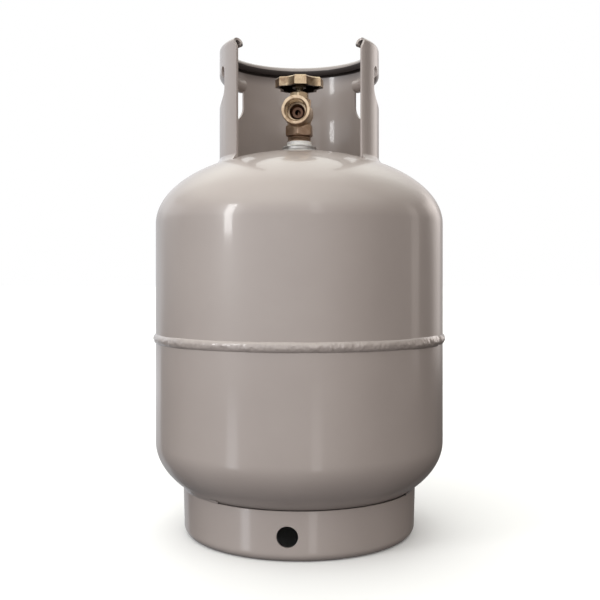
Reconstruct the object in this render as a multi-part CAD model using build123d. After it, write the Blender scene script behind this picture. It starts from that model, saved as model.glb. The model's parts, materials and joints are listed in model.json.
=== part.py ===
from build123d import *
import os
from math import asin, sin, cos, sqrt, radians, degrees

os.makedirs("parts", exist_ok=True)

# 9 kg LPG cylinder. Millimetres. Z is the cylinder axis and points up, the floor is z = 0,
# and the shroud opens toward the front, which is -Y. An azimuth is counted in degrees from
# the front toward +X.

# pressure vessel: two deep-drawn halves with half-elliptical ends
shell_r = 150.0
shell_wall = 2.5
dome_height = 77.0
pole_flat_r = 3.0
lower_tangent_z = 95.0
upper_tangent_z = 319.0

# joggled lap joint and its weld round the middle
joint_z = 201.0
joint_gap = 0.1
lip_height = 12.0
girth_bead_half_width = 5.8
girth_bead_height = 3.1

# foot ring with a curled lower edge
foot_top_r = 121.4
foot_bottom_r = 120.4
foot_sheet = 2.6
foot_top_z = 47.9
foot_curl_r = 8.0
foot_flange_r = 107.0
drain_hole_d = 20.0
drain_hole_z = 24.0
drain_hole_azimuth = -5.3
drain_hole_count = 3
foot_weld_centres = (-61.5, 82.0, 189.0)
foot_weld_reach = 3.0
foot_weld_span = 45.0

# valve shroud: a C-shaped collar with a rolled rim and two hand-holds
shroud_r = 84.0
shroud_sheet = 2.4
shroud_top_z = 504.5
shroud_open_half = 48.2
rim_curl_r = 5.25
rim_curl_turn = 245.0
end_setback = 7.0
end_setback_drop = 11.0
window_centre = 98.0
window_half = 32.5
window_side_z = 456.5
window_depth = 19.0
window_corner_r = 17.0
window_top_z = 475.5
notch_r = 5.5
notch_offset = 28.75
notch_z = 474.5
lip_curl_r = 7.6
lip_curl_turn = 290.0
lip_half = 25.2
shroud_weld_spans = ((48.6, 102.0), (148.0, 166.0))
shroud_weld_leg = 4.6

# threaded boss in the top of the upper half
boss_r = 18.0
boss_bottom_z = 384.0
boss_top_z = 401.6
boss_weld_leg = 2.8
shank_top_r = 12.5
tape_thickness = 0.3
tape_top_z = 407.0

# hand-wheel valve, turned a little so that its outlet points left of the front
valve_turn = -7.0
shank_bottom_z = 383.0
neck_r = 12.0
hex_flats = 27.0
hex_bottom_z = 413.0
hex_top_z = 424.0
valve_barrel_r = 12.5
valve_top_z = 451.0
inlet_r = 3.5
seat_z = 433.0
chamber_floor_z = 432.0
chamber_r = 7.5
bonnet_thread_r = 9.6
bonnet_thread_z = 444.0

# left-hand POL outlet
outlet_z = 435.8
outlet_reach = 31.0
outlet_r = 14.95
outlet_bore_r = 11.0
outlet_thread_length = 13.5
outlet_cone_r = 8.0
outlet_seat_r = 5.6
outlet_passage_r = 3.1

# relief valve behind the outlet
relief_z = 429.0
relief_barrel_r = 9.0
relief_reach = 28.0
relief_bore_r = 6.0
relief_floor = 11.0
relief_passage_r = 2.5

# stem, spindle and hand wheel
stem_r = 4.0
bonnet_bore_r = 4.1
o_ring_z = (454.2, 456.8)
bonnet_top_z = 458.6
square_side = 6.4
wheel_bottom_z = 463.8
wheel_top_z = 473.5
wheel_r = 25.5
wheel_valley_r = 20.7
wheel_lobes = 5
lobe_half_angle = 14.0
wheel_lobe_azimuth = 2.7
wheel_wall = 3.0


def on_azimuth(azimuth, z=0.0, r=0.0):
    """Upright plane that faces outward along an azimuth, its y axis pointing up."""
    a = radians(azimuth)
    outward = Vector(sin(a), -cos(a), 0)
    sideways = Vector(cos(a), sin(a), 0)
    return Plane(origin=outward * r + Vector(0, 0, z), x_dir=sideways, z_dir=outward)


def turned(edges, start=0.0, arc=360.0):
    """Revolve a closed outline, drawn as radius and height, from one azimuth on."""
    solid = revolve(Plane.XZ * make_face(edges), axis=Axis.Z, revolution_arc=arc)
    return Rot(0, 0, start - 90.0) * solid


def outline(*points):
    return Polyline(*points, close=True)


def disc(r, z_low, z_high):
    return Pos(0, 0, z_low) * extrude(Circle(r), amount=z_high - z_low)


def ring(r_out, r_in, z_low, z_high):
    return disc(r_out, z_low, z_high) - disc(r_in, z_low - 1, z_high + 1)


def bored_along(azimuth, z, r, start, end):
    """Round bar that lies on an azimuth between two distances from the axis."""
    return extrude(on_azimuth(azimuth, z, start) * Circle(r), amount=end - start)


def dome_height_at(r):
    return upper_tangent_z + dome_height * sqrt(1 - (r / shell_r) ** 2)


def dome_arc(r, height, tangent_z, up):
    """Half-elliptical end in radius and height, with a very small flat round the axis."""
    skip = degrees(asin(pole_flat_r / shell_r))
    edge_r = r * sin(radians(skip))
    drop = height * cos(radians(skip))
    start = 0 if up else 270 + skip
    z_flat = tangent_z + drop if up else tangent_z - drop
    arc = EllipticalCenterArc((0, tangent_z), r, height, start, arc_size=90 - skip)
    return arc, Line((edge_r, z_flat), (0, z_flat)), z_flat


def vessel_envelope():
    """The whole outside of the pressure vessel as one filled solid."""
    low_arc, low_flat, bottom = dome_arc(shell_r, dome_height, lower_tangent_z, False)
    top_arc, top_flat, top = dome_arc(shell_r, dome_height, upper_tangent_z, True)
    side = Line((shell_r, lower_tangent_z), (shell_r, upper_tangent_z))
    return turned([low_flat, low_arc, side, top_arc, top_flat, Line((0, top), (0, bottom))])


envelope = vessel_envelope()
inner_r = shell_r - shell_wall
inner_dome = dome_height - shell_wall


# ---- pressure vessel ----

def upper_shell():
    z_edge = joint_z + 2.0
    out_arc, out_flat, top = dome_arc(shell_r, dome_height, upper_tangent_z, True)
    in_arc, in_flat, under = dome_arc(inner_r, inner_dome, upper_tangent_z, True)
    edges = [
        Line((shell_r, z_edge), (shell_r, upper_tangent_z)),
        out_arc,
        out_flat,
        Line((0, top), (0, under)),
        in_flat,
        in_arc,
        Line((inner_r, upper_tangent_z), (inner_r, z_edge)),
        Line((inner_r, z_edge), (shell_r, z_edge)),
    ]
    return turned(edges) - disc(boss_r, top - 20, top + 5)


def lower_shell():
    """The lower half steps inward at its edge, and that lip sits inside the upper half."""
    lip_out = inner_r - joint_gap
    lip_in = lip_out - shell_wall
    wall = Polyline(
        (shell_r, lower_tangent_z),
        (shell_r, joint_z - 2.0),
        (lip_out, joint_z + 1.0),
        (lip_out, joint_z + lip_height),
        (lip_in, joint_z + lip_height),
        (lip_in, joint_z),
        (inner_r, joint_z - 3.0),
        (inner_r, lower_tangent_z),
    )
    out_arc, out_flat, bottom = dome_arc(shell_r, dome_height, lower_tangent_z, False)
    in_arc, in_flat, floor = dome_arc(inner_r, inner_dome, lower_tangent_z, False)
    centre = Line((0, bottom), (0, floor))
    return turned([out_flat, out_arc, *wall.edges(), in_arc, in_flat, centre])


def girth_weld():
    """Weld bead that fills the groove over the joggle and stands proud of the shell."""
    low = joint_z - girth_bead_half_width
    high = joint_z + girth_bead_half_width
    crown = shell_r + girth_bead_height
    edges = [
        ThreePointArc((shell_r, low), (crown, joint_z), (shell_r, high)),
        Line((shell_r, high), (shell_r, joint_z + 2.0)),
        Line((shell_r, joint_z + 2.0), (inner_r, joint_z + 2.0)),
        Line((inner_r, joint_z + 2.0), (inner_r, joint_z + 1.0)),
        Line((inner_r, joint_z + 1.0), (shell_r, joint_z - 1.9)),
        Line((shell_r, joint_z - 1.9), (shell_r, low)),
    ]
    return turned(edges)


def shank_r(z):
    """Radius of the taper thread, which narrows by 1 in 16 on the diameter going down."""
    return shank_top_r - (boss_top_z - z) / 32


def valve_boss():
    hole_top = shank_top_r + tape_thickness
    hole_bottom = shank_r(boss_bottom_z) + tape_thickness
    profile = outline(
        (boss_r, boss_bottom_z),
        (boss_r, boss_top_z - 1.0),
        (boss_r - 1.0, boss_top_z),
        (hole_top, boss_top_z),
        (hole_bottom, boss_bottom_z),
    )
    return turned(profile.edges())


def boss_weld():
    foot = boss_r + boss_weld_leg
    z_foot = dome_height_at(foot)
    z_head = dome_height_at(boss_r) + boss_weld_leg
    edges = [
        ThreePointArc((boss_r, z_head), (boss_r + 1.0, z_foot + 1.0), (foot, z_foot)),
        Line((foot, z_foot), (foot - 1, z_foot - 3)),
        Line((foot - 1, z_foot - 3), (boss_r, z_foot - 3)),
        Line((boss_r, z_foot - 3), (boss_r, z_head)),
    ]
    return turned(edges) - envelope


# ---- foot ring ----

def foot_ring():
    bend_x = foot_bottom_r - foot_curl_r
    inner_bend = foot_curl_r - foot_sheet
    edges = [
        Line((foot_top_r, foot_top_z), (foot_bottom_r, foot_curl_r)),
        CenterArc((bend_x, foot_curl_r), foot_curl_r, 270, 90),
        Line((bend_x, 0), (foot_flange_r, 0)),
        Line((foot_flange_r, 0), (foot_flange_r, foot_sheet)),
        Line((foot_flange_r, foot_sheet), (bend_x, foot_sheet)),
        CenterArc((bend_x, foot_curl_r), inner_bend, 270, 90),
        Line((foot_bottom_r - foot_sheet, foot_curl_r), (foot_top_r - foot_sheet, foot_top_z)),
        Line((foot_top_r - foot_sheet, foot_top_z), (foot_top_r, foot_top_z)),
    ]
    body = turned(edges)
    for i in range(drain_hole_count):
        azimuth = drain_hole_azimuth + 360.0 * i / drain_hole_count
        body -= bored_along(azimuth, drain_hole_z, drain_hole_d / 2, 90, 140)
    return body


def foot_ring_welds():
    """Fillet runs between the top edge of the foot ring and the lower dome."""
    root_r = foot_top_r - 1.6
    foot = foot_top_r + foot_weld_reach
    z_foot = lower_tangent_z - dome_height * sqrt(1 - (foot / shell_r) ** 2)
    z_mid = (foot_top_z + z_foot) / 2
    edges = [
        ThreePointArc((foot_top_r, foot_top_z), (foot - 1.9, z_mid), (foot, z_foot)),
        Line((foot, z_foot), (foot, z_foot + 0.5)),
        Line((foot, z_foot + 0.5), (root_r, z_foot + 0.5)),
        Line((root_r, z_foot + 0.5), (root_r, foot_top_z)),
        Line((root_r, foot_top_z), (foot_top_r, foot_top_z)),
    ]
    run = turned(edges, -foot_weld_span / 2, foot_weld_span) - envelope
    return Compound([Rot(0, 0, a) * run for a in foot_weld_centres])


# ---- valve shroud ----

def curl(cx, cz, r_out, start, turn):
    """Open-ended rolled edge in radius and height, one sheet thick."""
    r_in = r_out - shroud_sheet
    end = radians(start + turn)
    tip_out = (cx + r_out * cos(end), cz + r_out * sin(end))
    tip_in = (cx + r_in * cos(end), cz + r_in * sin(end))
    return [
        CenterArc((cx, cz), r_out, start, turn),
        Line(tip_out, tip_in),
        CenterArc((cx, cz), r_in, start, turn),
    ]


def shroud_wall():
    """Sheet collar with its rim rolled inward, ending on the dome."""
    inner = shroud_r - shroud_sheet
    z_bottom = 370.0
    cx = shroud_r - rim_curl_r
    cz = shroud_top_z - rim_curl_r
    edges = [
        Line((shroud_r, z_bottom), (shroud_r, cz)),
        *curl(cx, cz, rim_curl_r, 0, rim_curl_turn),
        Line((inner, cz), (inner, z_bottom)),
        Line((inner, z_bottom), (shroud_r, z_bottom)),
    ]
    return turned(edges, shroud_open_half, 360 - 2 * shroud_open_half) - envelope


def end_cut():
    """Wedge that slopes the top of the right-hand end of the collar away from the opening."""
    run = end_setback / end_setback_drop
    z_start = shroud_top_z - end_setback_drop
    wedge = outline(
        (-4.0, z_start - 4.0 / run),
        (10.0, z_start + 10.0 / run),
        (-4.0, z_start + 10.0 / run),
    )
    return extrude(on_azimuth(shroud_open_half, 0, 60) * make_face(wedge.edges()), amount=40)


def hand_hold():
    """Opening on the right-hand side, with relieved top corners.

    Its lower edge is a quarter ellipse toward the front and a round corner toward the back.
    """
    inside = shroud_r - 12
    outside = shroud_r + 6
    panel = outline(
        (inside, window_side_z),
        (outside, window_side_z),
        (outside, window_top_z),
        (inside, window_top_z),
    )
    cut = turned(panel.edges(), window_centre - window_half, 2 * window_half)
    half_chord = shroud_r * sin(radians(window_half))
    corner_box = RectangleRounded(half_chord + window_corner_r, 2 * window_depth, window_corner_r)
    bow = Ellipse(half_chord, window_depth)
    bow += Pos((half_chord - window_corner_r) / 2, 0) * corner_box
    cut += extrude(on_azimuth(window_centre, window_side_z, 40) * bow, amount=60)
    for side in (-1, 1):
        azimuth = window_centre + side * notch_offset
        cut += bored_along(azimuth, notch_z, notch_r, inside, outside)
    return cut


def hand_hold_lip():
    """Rolled grip along the top of a hand-hold, between its two corner notches."""
    inner = shroud_r - shroud_sheet
    cx = shroud_r - lip_curl_r
    edges = [
        Line((shroud_r, window_top_z + 1), (shroud_r, window_top_z)),
        *curl(cx, window_top_z, lip_curl_r, 0, -lip_curl_turn),
        Line((inner, window_top_z), (inner, window_top_z + 1)),
        Line((inner, window_top_z + 1), (shroud_r, window_top_z + 1)),
    ]
    return turned(edges, window_centre - lip_half, 2 * lip_half)


def shroud():
    body = shroud_wall()
    for cut in (end_cut(), hand_hold()):
        body -= cut
        body -= mirror(cut, about=Plane.YZ)
    lip = hand_hold_lip()
    body += lip
    body += mirror(lip, about=Plane.YZ)
    return body


def shroud_welds():
    """Fillet runs round the outside of the shroud where it stands on the dome."""
    foot = shroud_r + shroud_weld_leg
    z_head = dome_height_at(shroud_r) + shroud_weld_leg
    z_foot = dome_height_at(foot)
    runs = []
    for start, end in shroud_weld_spans:
        edges = [
            ThreePointArc((shroud_r, z_head), (shroud_r + 1.8, z_foot + 2.8), (foot, z_foot)),
            Line((foot, z_foot), (foot, z_foot - 3)),
            Line((foot, z_foot - 3), (shroud_r, z_foot - 3)),
            Line((shroud_r, z_foot - 3), (shroud_r, z_head)),
        ]
        run = turned(edges, start, end - start) - envelope
        runs.append(run)
        runs.append(mirror(run, about=Plane.YZ))
    return Compound(runs)


# ---- valve, built with its outlet toward the front and then turned ----

def thread_tape():
    """Sealing tape wound on the taper thread, bunched up above the boss."""
    low_r = shank_r(boss_bottom_z)
    neck_z = tape_top_z
    profile = outline(
        (low_r, boss_bottom_z),
        (low_r + tape_thickness, boss_bottom_z),
        (shank_top_r + tape_thickness, boss_top_z),
        (shank_top_r + 0.9, boss_top_z + 0.3),
        (shank_top_r + 0.8, boss_top_z + 1.9),
        (shank_top_r + 0.45, boss_top_z + 3.8),
        (shank_r(neck_z) + 0.1, neck_z),
        (shank_r(neck_z), neck_z),
    )
    return turned(profile.edges())


def valve_body():
    shank = outline(
        (0, shank_bottom_z),
        (shank_r(shank_bottom_z) - 1, shank_bottom_z),
        (shank_r(shank_bottom_z + 1), shank_bottom_z + 1),
        (shank_r(tape_top_z), tape_top_z),
        (neck_r, tape_top_z + 0.6),
        (neck_r, hex_bottom_z - 1.2),
        (neck_r - 0.7, hex_bottom_z - 0.7),
        (neck_r - 0.7, hex_bottom_z),
        (0, hex_bottom_z),
    )
    body = turned(shank.edges())
    hexagon = RegularPolygon(hex_flats / 2, 6, major_radius=False, rotation=90)
    nut = extrude(Pos(0, 0, hex_bottom_z) * hexagon, amount=hex_top_z - hex_bottom_z)
    nut &= chamfer(disc(15.2, hex_bottom_z, hex_top_z).edges(), 1.4)
    body += nut
    body += disc(valve_barrel_r, hex_top_z - 1, valve_top_z)
    barrel = bored_along(0, outlet_z, outlet_r, 0, outlet_reach)
    barrel = chamfer(barrel.edges().sort_by(Axis.Y)[0], 0.5)
    body += barrel
    body += bored_along(180, relief_z, relief_barrel_r, 0, relief_reach)

    # flow path from the inlet to the seat, and the chamber over it
    body -= disc(inlet_r, shank_bottom_z - 1, seat_z + 1)
    body -= disc(chamber_r, seat_z, valve_top_z + 1)
    body -= ring(chamber_r, inlet_r + 1.6, chamber_floor_z, seat_z + 1)
    body -= disc(bonnet_thread_r, bonnet_thread_z, valve_top_z + 1)

    # outlet: threaded mouth, cone seat and passage to the chamber
    thread_end = outlet_reach - outlet_thread_length
    bore = outline(
        (0, outlet_reach + 1),
        (outlet_bore_r + 2.0, outlet_reach + 1),
        (outlet_bore_r, outlet_reach - 1.0),
        (outlet_bore_r, thread_end),
        (outlet_cone_r, thread_end),
        (outlet_cone_r, thread_end - 2.0),
        (outlet_seat_r, thread_end - 4.5),
        (outlet_passage_r, thread_end - 4.5),
        (outlet_passage_r, 0),
        (0, 0),
    )
    tool = revolve(Plane.XY * make_face(bore.edges()), axis=Axis.Y)
    body -= Pos(0, 0, outlet_z) * Rot(0, 0, 180) * tool

    # relief passage from the inlet, and the spring chamber behind it
    body -= bored_along(180, relief_z - 1.5, relief_passage_r, 0, relief_floor + 2)
    body -= bored_along(180, relief_z, relief_bore_r, relief_floor + 1, relief_reach + 1)
    body -= bored_along(180, relief_z, relief_bore_r, relief_floor, relief_floor + 1.2) - (
        bored_along(180, relief_z - 1.5, relief_passage_r + 1.4, relief_floor - 1, relief_floor + 3)
    )
    return body


def bonnet():
    """Gland nut: threaded cup below and hexagon above, bored for the stem."""
    thread = bonnet_thread_r - 0.1
    body = disc(thread, bonnet_thread_z + 0.3, valve_top_z + 1)
    hexagon = RegularPolygon(19.0 / 2, 6, major_radius=False, rotation=90)
    nut = extrude(Pos(0, 0, valve_top_z + 0.8) * hexagon, amount=bonnet_top_z - valve_top_z - 0.8)
    body += nut & chamfer(disc(10.4, valve_top_z, bonnet_top_z).edges().sort_by(Axis.Z)[-1], 0.9)
    body -= disc(chamber_r + 0.4, bonnet_thread_z - 1, valve_top_z + 2)
    body -= disc(bonnet_bore_r, valve_top_z, bonnet_top_z + 1)
    return body


def bonnet_gasket():
    return ring(11.0, bonnet_thread_r + 0.1, valve_top_z, valve_top_z + 0.8)


def thrust_washer():
    return ring(7.4, stem_r + 0.3, valve_top_z + 1.2, valve_top_z + 2.0)


def upper_stem():
    """Captive stem: collar under the bonnet, blade below it, square and tapped end above."""
    stem = disc(7.4, valve_top_z - 1.4, valve_top_z + 1.15)
    stem += disc(stem_r, valve_top_z, wheel_bottom_z)
    blade = Box(9.6, 3.0, 9.5, align=(Align.CENTER, Align.CENTER, Align.MAX))
    stem += Pos(0, 0, valve_top_z - 0.5) * blade
    square = Box(square_side, square_side, 9.2, align=(Align.CENTER, Align.CENTER, Align.MIN))
    square &= disc(stem_r + 0.2, -1, 12)
    stem += Pos(0, 0, wheel_bottom_z - 0.5) * square
    for z in o_ring_z:
        stem -= ring(stem_r + 1, stem_r - 1.4, z - 0.8, z + 0.8)
    stem -= disc(2.1, 465.0, 475.0)
    return stem


def stem_o_rings():
    rings = [Pos(0, 0, z) * Torus(stem_r - 0.65, 0.7) for z in o_ring_z]
    return Compound(rings)


def lower_spindle():
    """Threaded plug, slotted for the stem's blade, with the seat disc in its lower end."""
    spindle = disc(6.0, seat_z + 1.0, 440.0)
    spindle += disc(chamber_r - 0.1, 439.7, 444.5)
    spindle -= Pos(0, 0, 437.0) * Box(10.2, 3.3, 20, align=(Align.CENTER, Align.CENTER, Align.MIN))
    spindle -= disc(4.6, seat_z, seat_z + 2.5)
    return spindle


def seat_disc():
    return disc(4.5, seat_z + 0.05, seat_z + 2.5)


def handwheel():
    """Five-lobed hand wheel: a rim wall under a flat web, with a square-holed hub."""
    def spot(r, azimuth):
        a = radians(azimuth - 90)
        return (r * cos(a), r * sin(a))

    edges = []
    step = 360.0 / wheel_lobes
    for i in range(wheel_lobes):
        a = wheel_lobe_azimuth + i * step
        left = spot(wheel_r, a - lobe_half_angle)
        right = spot(wheel_r, a + lobe_half_angle)
        valley = spot(wheel_valley_r, a + step / 2)
        following = spot(wheel_r, a + step - lobe_half_angle)
        edges.append(Line(left, right))
        edges.append(ThreePointArc(right, valley, following))
    face = make_face(edges)
    wheel = extrude(Pos(0, 0, wheel_bottom_z) * face, amount=wheel_top_z - wheel_bottom_z)
    wheel = chamfer(wheel.faces().sort_by(Axis.Z)[-1].edges(), 1.3)
    hollow = offset(face, -wheel_wall, kind=Kind.INTERSECTION)
    web_z = wheel_top_z - 3.0
    wheel -= extrude(Pos(0, 0, wheel_bottom_z - 1) * hollow, amount=web_z - wheel_bottom_z + 1)
    wheel += disc(7.2, wheel_bottom_z + 0.4, web_z + 0.5)
    wheel -= Pos(0, 0, 460) * Box(6.5, 6.5, 30, align=(Align.CENTER, Align.CENTER, Align.MIN))
    wheel -= disc(stem_r + 0.25, 460, wheel_top_z + 1)
    return wheel


def wheel_washer():
    return ring(6.5, 2.6, wheel_top_z, wheel_top_z + 0.9)


def wheel_screw():
    screw = disc(2.0, 466.0, wheel_top_z + 1.5)
    head = disc(4.4, wheel_top_z + 0.9, wheel_top_z + 3.9)
    screw += chamfer(head.edges().sort_by(Axis.Z)[-1], 1.0)
    screw -= extrude(
        Pos(0, 0, wheel_top_z + 2.2) * RegularPolygon(1.5, 6, major_radius=False), amount=3
    )
    return screw


def relief_seal():
    return bored_along(180, relief_z - 1.5, 3.7, relief_floor + 1.05, relief_floor + 2.6)


def relief_poppet():
    """Disc holder with a guide stem, pushed toward its seat by the spring."""
    start = relief_floor + 1.6
    poppet = bored_along(180, relief_z, 5.6, start, start + 3.2)
    poppet -= bored_along(180, relief_z - 1.5, 3.75, start - 1, relief_floor + 2.6)
    poppet += bored_along(180, relief_z, 1.9, start + 3, start + 9.4)
    return poppet


def relief_plug():
    """Threaded plug that holds the spring and vents through its hexagon socket."""
    plug = bored_along(180, relief_z, relief_bore_r - 0.05, relief_reach - 5.0, relief_reach)
    plug -= bored_along(180, relief_z, 2.3, relief_reach - 6, relief_reach + 1)
    socket = on_azimuth(180, relief_z, relief_reach - 2.5)
    plug -= extrude(socket * RegularPolygon(2.9, 6, major_radius=False), amount=4)
    return plug


def relief_spring():
    """Closed-coil compression spring between the poppet and the plug."""
    wire = 0.45
    coil = 3.3
    start = relief_floor + 4.8 + wire + 0.05
    end = relief_reach - 5.0 - wire - 0.05
    length = end - start
    path = Helix(pitch=length / 4.5, height=length, radius=coil)
    begin = path @ 0
    section = Plane(origin=begin, z_dir=path % 0) * Circle(wire)
    spring = sweep(section, path=path, is_frenet=True)
    return on_azimuth(180, relief_z, start).location * spring


def on_valve(shape):
    return Rot(0, 0, valve_turn) * shape


nodes = {
    "upper_shell": upper_shell(),
    "lower_shell": lower_shell(),
    "girth_weld": girth_weld(),
    "valve_boss": valve_boss(),
    "boss_weld": boss_weld(),
    "foot_ring": foot_ring(),
    "foot_ring_welds": foot_ring_welds(),
    "shroud": shroud(),
    "shroud_welds": shroud_welds(),
    "thread_tape": thread_tape(),
    "valve_body": on_valve(valve_body()),
    "bonnet": on_valve(bonnet()),
    "bonnet_gasket": bonnet_gasket(),
    "thrust_washer": thrust_washer(),
    "upper_stem": on_valve(upper_stem()),
    "stem_o_rings": stem_o_rings(),
    "lower_spindle": on_valve(lower_spindle()),
    "seat_disc": seat_disc(),
    "handwheel": handwheel(),
    "wheel_washer": wheel_washer(),
    "wheel_screw": wheel_screw(),
    "relief_seal": on_valve(relief_seal()),
    "relief_poppet": on_valve(relief_poppet()),
    "relief_spring": on_valve(relief_spring()),
    "relief_plug": on_valve(relief_plug()),
}

for name, shape in nodes.items():
    export_step(shape, f"parts/{name}.step")
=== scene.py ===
import bpy
import bmesh
import json
from math import pi, sin, cos, sqrt, atan2, radians
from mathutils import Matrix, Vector, noise


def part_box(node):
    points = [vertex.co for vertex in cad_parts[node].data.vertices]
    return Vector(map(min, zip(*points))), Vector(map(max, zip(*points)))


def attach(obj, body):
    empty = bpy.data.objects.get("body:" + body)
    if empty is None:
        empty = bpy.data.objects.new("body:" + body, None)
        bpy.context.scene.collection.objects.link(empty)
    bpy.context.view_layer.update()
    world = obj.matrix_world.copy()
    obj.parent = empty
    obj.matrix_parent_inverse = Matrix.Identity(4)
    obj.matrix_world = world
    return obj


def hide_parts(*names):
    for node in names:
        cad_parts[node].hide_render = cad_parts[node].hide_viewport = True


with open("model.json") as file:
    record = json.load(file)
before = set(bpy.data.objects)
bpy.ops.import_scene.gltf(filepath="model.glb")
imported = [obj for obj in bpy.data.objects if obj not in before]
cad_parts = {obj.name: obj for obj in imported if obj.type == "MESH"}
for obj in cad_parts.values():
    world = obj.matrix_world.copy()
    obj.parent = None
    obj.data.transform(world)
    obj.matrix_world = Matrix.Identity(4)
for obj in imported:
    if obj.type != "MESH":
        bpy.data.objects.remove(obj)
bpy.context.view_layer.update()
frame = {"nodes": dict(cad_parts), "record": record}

MM = 0.001


# ------------------------------------- places: from the CAD boxes, and sizes that a box doesn't show

def low(node, i):
    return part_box(node)[0][i]


def high(node, i):
    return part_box(node)[1][i]


SHELL_R = (high("upper_shell", 0) - low("upper_shell", 0)) / 2
DOME_TOP = 396 * MM
DOME_H = 77 * MM
SHELL_BOTTOM = low("lower_shell", 2)
LOWER_TANGENT = SHELL_BOTTOM + DOME_H
UPPER_TANGENT = DOME_TOP - DOME_H
SEAM_Z = (low("girth_weld", 2) + high("girth_weld", 2)) / 2
WALL = 2.5 * MM
RING_SHEET = 2.6 * MM
SHROUD_SHEET = 2.4 * MM
DRAIN_HOLES = [radians(-5.3 + 120 * i) for i in range(3)]
RIM_CURL_TURN = radians(245)
LIP_CURL_TURN = radians(290)
TAPE_THREAD = (407 * MM, 412.6 * MM, 1.81 * MM)
POL_PITCH = 1.814 * MM
SKIN = 0.05 * MM  # how far a drawn surface stays inside its CAD solid
FOOT_TOP = high("foot_ring", 2)
SHROUD_TOP = high("shroud", 2)
SHROUD_R = (high("shroud", 0) - low("shroud", 0)) / 2
BOSS_R = (high("valve_boss", 0) - low("valve_boss", 0)) / 2
BOSS_TOP = high("valve_boss", 2)
WHEEL_TOP = high("handwheel", 2)
OUTLET_MOUNT = next(m for m in frame["record"]["mounts"] if m["name"] == "gas_outlet")
OUTLET = Vector(OUTLET_MOUNT["pos_m"])
OUTLET_WAY = Vector(OUTLET_MOUNT["axis"]).normalized()


def spot(azimuth, r, z):
    """Point at an azimuth in radians, counted from the front (-Y) toward +X."""
    return Vector((r * sin(azimuth), -r * cos(azimuth), z))


def upper_dome(r):
    return UPPER_TANGENT + DOME_H * sqrt(max(0.0, 1 - (r / SHELL_R) ** 2))


def lower_dome(r):
    return LOWER_TANGENT - DOME_H * sqrt(max(0.0, 1 - (r / SHELL_R) ** 2))


# ---------------------------------------------------------------- materials

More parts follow.
